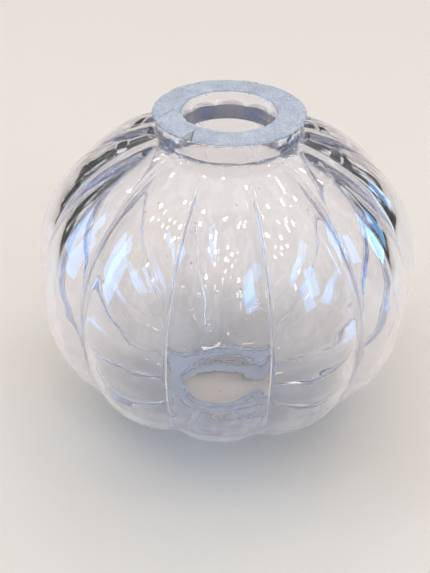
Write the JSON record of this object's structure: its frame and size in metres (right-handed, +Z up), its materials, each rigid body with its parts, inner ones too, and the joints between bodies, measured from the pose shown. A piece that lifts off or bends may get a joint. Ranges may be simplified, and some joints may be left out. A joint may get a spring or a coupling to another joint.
{
  "type": "ribbed glass stem ball",
  "caption": "Hollow clear glass ball with convex melon lobes, open at both ends through short collars ground flat, to thread on the stem of a chandelier or lamp.",
  "frame": {"origin": "centre of the lower ground face, on the axis of the stem that passes through the ball", "axes": "+Z up along the axis through both openings; the crest of one lobe points along -Y"},
  "size_m": [0.1, 0.1, 0.0897],
  "materials": {
    "clear_glass": "clear glass, fire-polished, gently wavy, with a few seeds",
    "ground_glass": "clear glass whose end face is ground matt and slightly nibbled at its edges"
  },
  "bodies": {
    "root": {"lobed_globe": "clear_glass", "top_collar": "ground_glass", "bottom_collar": "ground_glass"}
  },
  "joints": []
}
